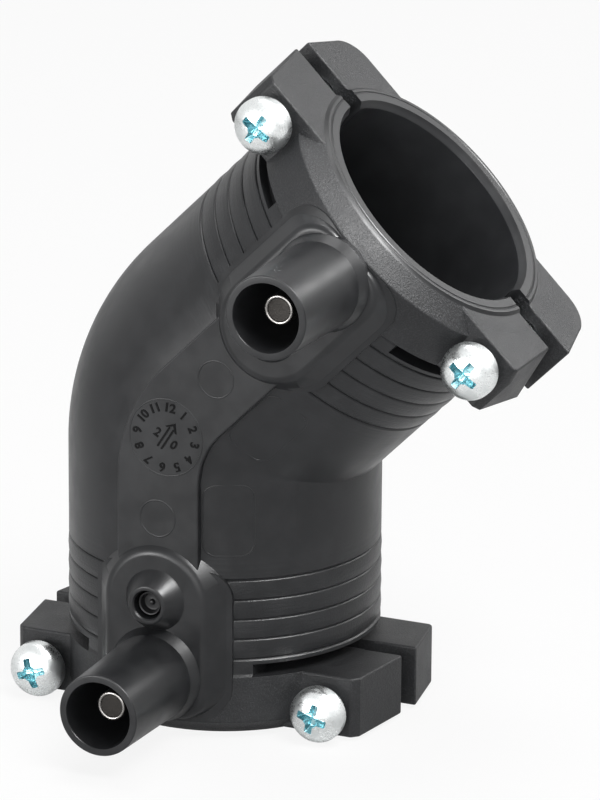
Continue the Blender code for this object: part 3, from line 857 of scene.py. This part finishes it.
def new_material(name, group, values, metallic=0.0, bump=0.00004, specular=0.5, ior=1.5):
    """Makes a Principled material that takes its colour, roughness and relief from a node group."""
    material = bpy.data.materials.new(name)
    material.use_nodes = True
    tree = material.node_tree
    shader = tree.nodes["Principled BSDF"]
    pattern = add_node(tree, "ShaderNodeGroup", node_tree=group)
    for label, value in values.items():
        pattern.inputs[label].default_value = value
    relief = add_node(tree, "ShaderNodeBump", {"Height": pattern.outputs["Height"], "Distance": bump})
    tree.links.new(pattern.outputs["Color"], shader.inputs["Base Color"])
    tree.links.new(pattern.outputs["Roughness"], shader.inputs["Roughness"])
    tree.links.new(relief.outputs["Normal"], shader.inputs["Normal"])
    shader.inputs["Metallic"].default_value = metallic
    shader.inputs["Specular IOR Level"].default_value = specular
    shader.inputs["IOR"].default_value = ior
    material.diffuse_color = (*tuple(values["Base"])[:3], 1)
    return material


polyethylene = new_material(
    "black_polyethylene",
    moulded,
    {"Base": (0.0115, 0.012, 0.0132, 1), "Bloom": (0.05, 0.0515, 0.055, 1), "Grain": 1.0},
    specular=PLASTIC_SPECULAR,
    ior=PLASTIC_IOR,
)
moulding.data.materials.clear()
moulding.data.materials.append(polyethylene)
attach(moulding, "root")
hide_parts("elbow_body")


# Date dial and moulding marks: a round dial with plain numbers round a pointer is moulded on the flat
# strip at the middle of the bend. The strip of each leg has a round ejector mark.
# The fine outline of a mould insert lies beside it on the socket.
DIAL_RADIUS = 0.0055
DIAL_LINE = 0.00026
DIAL_RELIEF = 0.0002
DIAL_SHIFT = 0.0014
DIAL_TURN = math.radians(15)
FIGURE_CIRCLE = 0.0043
FIGURE_SIZE = 0.0018
FIGURE_WEIGHT = 0.00005
POINTER_LEAN = math.radians(-10)
BAR_OFFSET = 0.00034
BAR_HALF_WIDTH = 0.00014
BAR_FOOT = -0.0018
BAR_TOP = 0.0016
ARROW = ((-0.001, 0.0014), (0, 0.0026), (0.001, 0.0014), (0.0007, 0.0014), (0, 0.0021), (-0.0007, 0.0014))
YEAR_FIGURES = (("2", -0.0014), ("0", 0.0015))
YEAR_DROP = 0.0002
MARK_RADIUS = 0.00262
MARK_LINE = 0.0003
MARK_HEIGHT = 0.0317
RIDGE_RISE = 0.0001
RIDGE_SINK = 0.00004
INSERT_LOW = 0.0268
INSERT_HIGH = 0.037
INSERT_START = math.radians(16.6)
INSERT_END = math.radians(35.2)
INSERT_CORNER = 0.0019
INSERT_LINE = 0.00024
INSERT_RISE = 0.00008
INSERT_SINK = 0.00002

dial_place = BISECTOR @ Matrix.Translation((DIAL_SHIFT, 0, 0)) @ FRONT


def ring_mesh(radius, width, steps=72):
    """Makes a low ring with a round back."""
    made = bmesh.new()
    line = []
    for i in range(7):
        t = math.pi * i / 6
        height = RIDGE_RISE * math.sin(t) - RIDGE_SINK
        line.append(made.verts.new((radius + width / 2 * math.cos(t), 0, height)))
    edges = [made.edges.new(pair) for pair in zip(line, line[1:])]
    edges.append(made.edges.new((line[-1], line[0])))
    bmesh.ops.spin(made, geom=line + edges, cent=(0, 0, 0), axis=(0, 0, 1), angle=math.tau, steps=steps)
    bmesh.ops.remove_doubles(made, verts=made.verts, dist=FINE_WELD)
    return made


def figure_mesh(text, size):
    """Makes a raised figure from Blender's own type, with its middle at the origin."""
    curve = bpy.data.curves.new("figure", "FONT")
    curve.body = text
    curve.size = size
    curve.extrude = DIAL_RELIEF / 2
    curve.offset = FIGURE_WEIGHT
    curve.align_x = "CENTER"
    curve.align_y = "CENTER"
    curve.resolution_u = 4
    obj = bpy.data.objects.new("figure", curve)
    scene.collection.objects.link(obj)
    bpy.context.view_layer.update()
    made = bmesh.new()
    made.from_mesh(applied(obj))
    bmesh.ops.remove_doubles(made, verts=made.verts, dist=FINE_WELD)
    bpy.data.objects.remove(obj)
    return made


def joined(name, meshes, matrix):
    """Makes one object from several bmeshes."""
    whole = bmesh.new()
    for made, spot in meshes:
        part_mesh = bpy.data.meshes.new("part")
        made.to_mesh(part_mesh)
        made.free()
        part_mesh.transform(spot)
        whole.from_mesh(part_mesh)
        bpy.data.meshes.remove(part_mesh)
    return piece_from(name, whole, matrix)


surface = Matrix.Translation((0, 0, STRIP_FACE))
marks = []
for number in range(1, 13):
    turn = math.radians(90 - 30 * number) + DIAL_TURN
    spot = Matrix.Translation((FIGURE_CIRCLE * math.cos(turn), FIGURE_CIRCLE * math.sin(turn), STRIP_FACE))
    spot = spot @ Matrix.Rotation(turn - math.pi / 2, 4, "Z")
    marks.append((figure_mesh(str(number), FIGURE_SIZE), spot))
leaning = surface @ Matrix.Rotation(POINTER_LEAN, 4, "Z")
for offset in (-BAR_OFFSET, BAR_OFFSET):
    left, right = offset - BAR_HALF_WIDTH, offset + BAR_HALF_WIDTH
    bar = [(left, BAR_FOOT), (right, BAR_FOOT), (right, BAR_TOP), (left, BAR_TOP)]
    marks.append((prism_mesh(bar, -DIAL_RELIEF / 2, DIAL_RELIEF / 2), leaning))
marks.append((prism_mesh(ARROW, -DIAL_RELIEF / 2, DIAL_RELIEF / 2), leaning))
for figure, offset in YEAR_FIGURES:
    marks.append((figure_mesh(figure, FIGURE_SIZE), leaning @ Matrix.Translation((offset, -YEAR_DROP, 0))))
dial = joined("date_dial", marks, dial_place)
smooth(dial)
# Painted shade: the raised figures are made nearly black, far darker than the moulding, to stand in for
# the shade in sunk figures.
figure_painted_shade = new_material(
    "figure_painted_shade",
    moulded,
    {"Base": (0.002, 0.002, 0.0022, 1), "Bloom": (0.004, 0.004, 0.0045, 1), "Grain": 0.0},
    bump=0.00001,
    specular=0.1,
)
dial.data.materials.append(figure_painted_shade)
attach(dial, "root")


def insert_mesh(side):
    """Draws the outline of a mould insert on the socket as a low round ridge."""
    made = bmesh.new()
    left = INSERT_START * SOCKET_RADIUS + INSERT_CORNER
    right = INSERT_END * SOCKET_RADIUS - INSERT_CORNER
    low = INSERT_LOW + INSERT_CORNER
    high = INSERT_HIGH - INSERT_CORNER
    path = []
    for i, centre in enumerate(((left, low), (right, low), (right, high), (left, high))):
        path += arc(centre, INSERT_CORNER, 180 + 90 * i, 270 + 90 * i, 10)
    rings = []
    for i, point in enumerate(path):
        ahead = Vector(path[(i + 1) % len(path)]) - Vector(path[i - 1])
        across = Vector((ahead.y, -ahead.x)).normalized()
        ring = []
        for j in range(6):
            t = math.pi * j / 5
            flat = Vector(point) + across * (INSERT_LINE / 2 * math.cos(t))
            turn = flat.x / SOCKET_RADIUS
            out = SOCKET_RADIUS + INSERT_RISE * math.sin(t) - INSERT_SINK
            ring.append(made.verts.new((side * out * math.sin(turn), -out * math.cos(turn), flat.y)))
        rings.append(ring)
    for i, ring in enumerate(rings):
        after = rings[(i + 1) % len(rings)]
        for j in range(6):
            k = (j + 1) % 6
            made.faces.new((ring[j], ring[k], after[k], after[j]))
    return made


spots = [(ring_mesh(DIAL_RADIUS, DIAL_LINE), dial_place @ surface)]
for leg_frame, side in ((LOWER, 1), (UPPER, -1)):
    spots.append((insert_mesh(side), leg_frame))
    spots.append((ring_mesh(MARK_RADIUS, MARK_LINE), leg_frame @ at_front(0, MARK_HEIGHT) @ surface))
ejectors = joined("ejector_marks", spots, Matrix.Identity(4))
smooth(ejectors)
ejectors.data.materials.append(polyethylene)
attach(ejectors, "root")


# Clamp screws: M4 with pan heads in bright zinc, each with a cross recess and a rolled thread.
# They pass through the front lug of a gap and bite into the back one.
# The heads stand just clear of the lug, as they leave the factory untightened.
HEAD_RADIUS = 0.00395
HEAD_STANDOFF = 0.0018
HEAD_RIM = 0.0014
HEAD_DOME = 0.0023
HEAD_FOOT = ((0, 0.0004), (0.00006, 0.00015), (0.0002, 0.00003), (0.0004, 0))
NECK_EDGE = 0.0002
NECK_HEIGHT = 0.0005
RECESS_SPAN = 0.0056
RECESS_WIDTH = 0.0013
RECESS_DEPTH = 0.0018
WING_TAPER = 0.55
WING_THINNING = 0.6
WING_EDGE = 0.00016
CENTRE_SHAPE = ((0, -0.001), (0.0013, -0.001), (0.00105, 0.0006), (0.0005, 0.002), (0, 0.0022))
CENTRE_STEPS = 32
THREAD_PITCH = 0.0007
THREAD_DEPTH = 0.0003
SHANK_TIP = 0.0012
THREAD_ROWS = 8
STAIN_SCALE = 420.0
SPARK_SCALE = 3600.0
STAIN_TINT = 0.45
DULLING = 0.08
DOME_STEPS = 16
SCREW_STEPS = 48

head_base = LUG_HALF_WIDTH + HEAD_STANDOFF
rim_top = head_base + HEAD_RIM
head_top = rim_top + HEAD_DOME
screw_rows = [(0.0, head_top, 0)]
for i in range(1, DOME_STEPS + 1):
    t = math.radians(90 - 90 * i / DOME_STEPS)
    screw_rows.append((HEAD_RADIUS * math.cos(t), rim_top + HEAD_DOME * math.sin(t), 0))
screw_rows += [(HEAD_RADIUS - inward, head_base + rise, 0) for inward, rise in HEAD_FOOT]
screw_rows += [(SHANK_RADIUS + NECK_EDGE, head_base, 0), (SHANK_RADIUS, head_base - NECK_EDGE, 0)]
thread_top = head_base - NECK_HEIGHT
thread_end = -hole_end + 2 * CLEARANCE
rows = int((thread_top - thread_end) / (THREAD_PITCH / THREAD_ROWS))
for i in range(rows + 1):
    height = thread_top + (thread_end - thread_top) * i / rows
    fade = min(1.0, (height - thread_end) / SHANK_TIP)
    radius = SHANK_RADIUS - (1 - fade) * SHANK_TIP / 2
    screw_rows.append((radius, height, min(1.0, i / THREAD_ROWS)))
screw_rows.append((0.0, thread_end, 0))


def screw_mesh():
    """Turns the screw's rows, with the thread as a helix in their radius."""
    made = bmesh.new()
    rings = []
    for radius, height, thread in screw_rows:
        if radius == 0.0:
            rings.append([made.verts.new((0, 0, height))])
            continue
        ring = []
        for j in range(SCREW_STEPS):
            turn = math.tau * j / SCREW_STEPS
            phase = (height / THREAD_PITCH + j / SCREW_STEPS) % 1.0
            out = radius - thread * THREAD_DEPTH * abs(2 * phase - 1) ** 1.2
            ring.append(made.verts.new((out * math.cos(turn), out * math.sin(turn), height)))
        rings.append(ring)
    for upper, lower in zip(rings, rings[1:]):
        for j in range(SCREW_STEPS):
            k = (j + 1) % SCREW_STEPS
            if len(upper) == 1:
                made.faces.new((upper[0], lower[j], lower[k]))
            elif len(lower) == 1:
                made.faces.new((upper[j], lower[0], upper[k]))
            else:
                made.faces.new((upper[j], lower[j], lower[k], upper[k]))
    return made


def wing_mesh(turn):
    """Makes one tapered bar of the cross recess."""
    made = block_mesh(
        (-RECESS_SPAN / 2, -RECESS_WIDTH / 2, head_top - RECESS_DEPTH),
        (RECESS_SPAN / 2, RECESS_WIDTH / 2, head_top + OVERRUN),
    )
    for vertex in made.verts:
        if vertex.co.z < head_top:
            vertex.co.x *= WING_TAPER
            vertex.co.y *= WING_THINNING
    bmesh.ops.rotate(made, verts=made.verts, matrix=Matrix.Rotation(turn, 3, "Z"))
    return made


metal, given, result = new_group(
    "plated_metal",
    [
        ("Base", "NodeSocketColor", (0.7, 0.71, 0.72, 1)),
        ("Dull", "NodeSocketColor", (0.4, 0.42, 0.43, 1)),
        ("Smoothness", "NodeSocketFloat", 0.3),
    ],
    [("Color", "NodeSocketColor"), ("Roughness", "NodeSocketFloat"), ("Height", "NodeSocketFloat")],
)
place = add_node(metal, "ShaderNodeTexCoord").outputs["Object"]
stain = between(metal, noise(metal, place, STAIN_SCALE, 4.0, 0.6), 0.42, 0.72)
spark = noise(metal, place, SPARK_SCALE)
colour = blended(metal, times(metal, stain, STAIN_TINT), given.outputs["Base"], given.outputs["Dull"])
metal.links.new(colour, result.inputs["Color"])
dulled = times(metal, between(metal, spark, 0.3, 0.7), DULLING)
dulled = plus(metal, given.outputs["Smoothness"], plus(metal, dulled, times(metal, stain, DULLING)))
metal.links.new(dulled, result.inputs["Roughness"])
metal.links.new(spark, result.inputs["Height"])

zinc = new_material(
    "bright_zinc",
    metal,
    {"Base": (0.74, 0.76, 0.76, 1), "Dull": (0.48, 0.51, 0.51, 1), "Smoothness": 0.24},
    metallic=1.0,
    bump=0.000003,
)
# Painted shade: the cross recess has its own darker, bluer zinc than the head, for the shade that falls in
# it.
recess_shade_zinc = new_material(
    "recess_shade_zinc",
    metal,
    {"Base": (0.4, 0.62, 0.66, 1), "Dull": (0.06, 0.15, 0.18, 1), "Smoothness": 0.25},
    metallic=1.0,
    bump=0.00001,
)
screws = (
    ("lower_left", LOWER, -1, 19),
    ("lower_right", LOWER, 1, 75),
    ("upper_left", UPPER, 1, 100),
    ("upper_right", UPPER, -1, 97),
)
blank = piece_from("screw_blank", screw_mesh())
blank.data.materials.append(zinc)
blank.data.materials.append(recess_shade_zinc)
bars = [rounded(piece_from("bar", wing_mesh(turn)), WING_EDGE, 2) for turn in (0.0, math.pi / 2)]
centre_profile = [(radius, head_top - depth) for radius, depth in CENTRE_SHAPE]
centre = piece_from("centre", turned_mesh(centre_profile, CENTRE_STEPS))
cross = combine(bars[0], [bars[1], centre], "UNION")
cross.data.materials.clear()
cross.data.materials.append(recess_shade_zinc)
combine(blank, [cross], "DIFFERENCE")
smooth(blank, 40)
for name, leg_frame, side, turn in screws:
    screw = bpy.data.objects.new("screw_" + name, blank.data.copy())
    scene.collection.objects.link(screw)
    spin = Matrix.Rotation(math.radians(turn), 4, "Z")
    screw.data.transform(leg_frame @ at_front(side * SCREW_OFFSET, SCREW_HEIGHT) @ spin)
    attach(screw, "root")
    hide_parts("clamp_screw_" + name)
bpy.data.objects.remove(blank)


# Contact pins: a turned and tinned brass pin stands in each shroud, joined to the heating wire inside.
# It is a short tube with a rounded rim, and its sunk end face is much darker than the rim.
# The welding lead's plug goes over it.
PIN_RECESS = 0.0041
PIN_RIM = 0.00028
PIN_FACE_SINK = 0.00022
PIN_STEPS = 64
FACES_FRONT = 0.95

tinned = new_material(
    "tinned_pin",
    metal,
    {"Base": (0.28, 0.27, 0.26, 1), "Dull": (0.1, 0.095, 0.09, 1), "Smoothness": 0.24},
    metallic=1.0,
    bump=0.000006,
)
# The pin's end face is given a much darker metal than its rim.
pin_face_dark = new_material(
    "dark_pin_face",
    metal,
    {"Base": (0.032, 0.03, 0.028, 1), "Dull": (0.012, 0.011, 0.01, 1), "Smoothness": 0.42},
    metallic=1.0,
    bump=0.00003,
)
pin_top = SHROUD_TIP - PIN_RECESS
rim_centre = (PIN_RADIUS - PIN_RIM, pin_top - PIN_RIM)
face_radius = PIN_RADIUS - 2 * PIN_RIM
pin_profile = [
    (0, pin_top - PIN_FACE_SINK),
    (face_radius, pin_top - PIN_FACE_SINK),
    *arc(rim_centre, PIN_RIM, 170, 0, 16),
    (PIN_RADIUS, pin_floor + CLEARANCE),
    (0, pin_floor + CLEARANCE),
]
for name, leg_frame in (("lower", LOWER), ("upper", UPPER)):
    pin = piece_from("pin_" + name, turned_mesh(pin_profile, PIN_STEPS))
    pin.data.materials.append(tinned)
    pin.data.materials.append(pin_face_dark)
    for face in pin.data.polygons:
        if face.normal.z > FACES_FRONT and face.center.xy.length < face_radius:
            face.material_index = 1
    pin.data.transform(leg_frame @ at_front(0, TERMINAL_HEIGHT))
    smooth(pin)
    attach(pin, "root")
    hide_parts("contact_pin_" + name)


# Fusion indicators: a small moulded pin lies sunk in each cone.
# Molten plastic pushes it out when the joint is welded.
# Its top is a deep cup with the stub of its sprue in the middle.
INDICATOR_SINK = 0.0009
CUP_DEPTH = 0.0011
CUP_RADIUS = 0.0014
CUP_DRAFT = 0.0002
CUP_EDGE = 0.00015
RIM_EDGE = 0.0001
RIM_DEPTH = 0.0012
STUB_RADIUS = 0.0004
STUB_HEIGHT = 0.00055
STUB_SHOULDER = 0.0005
INDICATOR_STEPS = 48

black_gloss = new_material(
    "indicator_black",
    moulded,
    {"Base": (0.014, 0.014, 0.015, 1), "Bloom": (0.03, 0.03, 0.031, 1), "Grain": 0.0},
    bump=0.00001,
    specular=PLASTIC_SPECULAR,
    ior=PLASTIC_IOR,
)
rise_top = indicator_top - INDICATOR_SINK
rise_radius = INDICATOR_HOLE_RADIUS - CLEARANCE
cup_floor = rise_top - CUP_DEPTH
rise_profile = [
    (0, cup_floor + STUB_HEIGHT),
    *eased(
        [
            (0.1 * STUB_RADIUS, cup_floor + STUB_HEIGHT),
            (0.7 * STUB_RADIUS, cup_floor + STUB_SHOULDER),
            (STUB_RADIUS, cup_floor),
            (CUP_RADIUS - CUP_DRAFT, cup_floor),
            (CUP_RADIUS, rise_top - RIM_EDGE),
            (rise_radius - RIM_EDGE, rise_top),
            (rise_radius, rise_top - RIM_DEPTH),
        ],
        CUP_EDGE,
    ),
    (rise_radius, indicator_top - INDICATOR_DEPTH + CLEARANCE),
    (0, indicator_top - INDICATOR_DEPTH + CLEARANCE),
]
for name, leg_frame in (("lower", LOWER), ("upper", UPPER)):
    rise = piece_from("indicator_" + name, turned_mesh(rise_profile, INDICATOR_STEPS))
    rise.data.transform(leg_frame @ at_front(0, INDICATOR_HEIGHT))
    rise.data.materials.append(black_gloss)
    smooth(rise)
    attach(rise, "root")
    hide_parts("fusion_indicator_" + name)


# Studio: a pale floor that keeps the soft shadow, under soft boxes at the upper right, above, the left
# and the front. Three more show in the gloss alone, so that the colours stay at a plain level.
# The camera stands as in the photograph, a long way off with a long lens.
AZIMUTH = math.radians(23.96)
ELEVATION = math.radians(17.65)
ROLL = math.radians(0.40)
CAMERA_PLACE = (0.31924, -0.70885, 0.29400)
LENS = 266.54
FLOOR_COLOUR = (0.86, 0.86, 0.86, 1)
FLOOR_WHITE = 0.88
FLOOR_GLOSS = 0.15
FLOOR_HALF_SIZE = 3.0
FLOOR_GAP = 0.00005
AMBIENT = 0.1

reach = math.cos(ELEVATION)
back = Vector((math.sin(AZIMUTH) * reach, -math.cos(AZIMUTH) * reach, math.sin(ELEVATION)))
level = Vector((math.cos(AZIMUTH), math.sin(AZIMUTH), 0))
upright = back.cross(level)
right = level * math.cos(ROLL) + upright * math.sin(ROLL)
up = upright * math.cos(ROLL) - level * math.sin(ROLL)
camera = bpy.data.objects.new("camera", bpy.data.cameras.new("camera"))
camera.matrix_world = Matrix.Translation(CAMERA_PLACE) @ Matrix((right, up, back)).transposed().to_4x4()
camera.data.lens = LENS
camera.data.sensor_width = 36
camera.data.clip_start = 0.01
camera.data.clip_end = 20
scene.collection.objects.link(camera)
scene.camera = camera

middle = (cad_low + cad_high) / 2


def soft_box(name, offset, size, power, sheen_only=False):
    """Adds a square soft box that faces the part. A sheen box shows in reflections only."""
    light = bpy.data.lights.new(name, "AREA")
    light.shape = "RECTANGLE"
    light.size = size[0]
    light.size_y = size[1]
    light.energy = power
    obj = bpy.data.objects.new(name, light)
    obj.location = middle + Vector(offset)
    obj.rotation_euler = (-Vector(offset)).to_track_quat("-Z", "Y").to_euler()
    obj.visible_diffuse = not sheen_only
    scene.collection.objects.link(obj)


soft_box("key_box", (0.45, -0.25, 0.83), (0.45, 0.45), 6.0)
soft_box("top_box", (0.0, 0.2, 0.95), (0.5, 0.3), 4.0)
soft_box("left_box", (-0.5, -0.85, 0.12), (0.4, 0.4), 2.5)
soft_box("front_box", (0.15, -0.97, 0.2), (0.5, 0.5), 4.0)
soft_box("key_sheen", (0.64, -0.12, 0.75), (0.35, 0.35), 24.0, sheen_only=True)
soft_box("rim_sheen", (0.5, 0.72, 0.48), (0.3, 0.3), 3.2, sheen_only=True)
soft_box("left_sheen", (-0.45, -0.88, 0.12), (0.3, 0.3), 6.0, sheen_only=True)

floor_mesh = bmesh.new()
bmesh.ops.create_grid(floor_mesh, x_segments=8, y_segments=8, size=FLOOR_HALF_SIZE)
floor = piece_from("floor", floor_mesh, Matrix.Translation((0, 0, cad_low.z - FLOOR_GAP)))
pale = bpy.data.materials.new("pale_floor")
pale.use_nodes = True
tree = pale.node_tree
tree.nodes.clear()
path = add_node(tree, "ShaderNodeLightPath")
card = add_node(tree, "ShaderNodeBsdfDiffuse", {"Color": FLOOR_COLOUR})
glow = add_node(tree, "ShaderNodeEmission", {"Color": (1, 1, 1, 1), "Strength": 1.0})
seen = maths(tree, "MULTIPLY", path.outputs["Is Camera Ray"], FLOOR_WHITE)
seen = maths(tree, "ADD", seen, maths(tree, "MULTIPLY", path.outputs["Is Glossy Ray"], FLOOR_GLOSS))
mixed = add_node(tree, "ShaderNodeMixShader", {0: seen, 1: card.outputs[0], 2: glow.outputs[0]})
add_node(tree, "ShaderNodeOutputMaterial", {"Surface": mixed.outputs[0]})
floor.data.materials.append(pale)

world = bpy.data.worlds.new("studio")
scene.world = world
world.use_nodes = True
tree = world.node_tree
tree.nodes.clear()
path = add_node(tree, "ShaderNodeLightPath")
seen = maths(tree, "MAXIMUM", path.outputs["Is Camera Ray"], path.outputs["Is Transmission Ray"])
seen = maths(tree, "MAXIMUM", seen, path.outputs["Is Glossy Ray"])
strength = add_node(tree, "ShaderNodeMapRange", {"Value": seen, "To Min": AMBIENT, "To Max": 1.0})
strength = strength.outputs["Result"]
sky = add_node(tree, "ShaderNodeBackground", {"Color": (1, 1, 1, 1), "Strength": strength})
add_node(tree, "ShaderNodeOutputWorld", {"Surface": sky.outputs[0]})

scene.view_settings.view_transform = "Standard"
